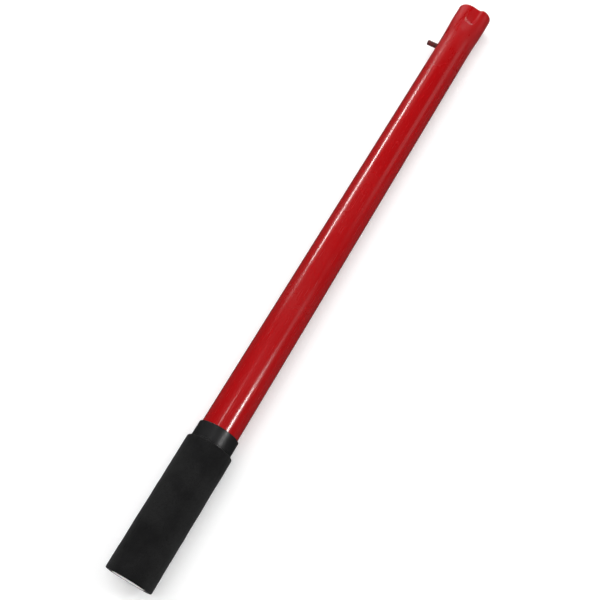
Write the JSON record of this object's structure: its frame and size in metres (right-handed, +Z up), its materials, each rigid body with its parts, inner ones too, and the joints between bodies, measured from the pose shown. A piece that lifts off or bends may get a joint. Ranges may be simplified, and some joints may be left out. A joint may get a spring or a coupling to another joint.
{
  "type": "tubular drive handle",
  "caption": "Tubular lever handle with a foam grip, a squeezed drive end that fits over a tang, and a sprung side pin that locks it in its socket.",
  "frame": {"origin": "centre of the butt's flat face, on the tube's axis", "axes": "+X along the tube from the butt to the drive end, +Y the way the lock button stands out, +Z up when the handle lies on a surface"},
  "size_m": [0.632, 0.046, 0.04],
  "materials": {
    "red_enamel": "glossy enamel over steel",
    "button_steel": "dark red overspray on turned steel",
    "spring_steel": "oiled spring strip",
    "black_plastic": "satin moulded",
    "black_foam": "matt closed-cell foam",
    "pale_plastic": "plain moulded"
  },
  "bodies": {
    "handle": {"handle_tube": "red_enamel", "button_spring": "spring_steel", "grip_sleeve": "black_plastic", "foam_grip": "black_foam", "end_plug": "pale_plastic"},
    "button": {"lock_button": "button_steel"}
  },
  "joints": [
    {"name": "button_press", "type": "slide", "parent": "handle", "child": "button", "axis": [0, -1, 0], "range_m": [0, 0.01], "stiffness_N_per_m": 900, "springref_m": -0.006, "deforming": ["button_spring"]}
  ]
}
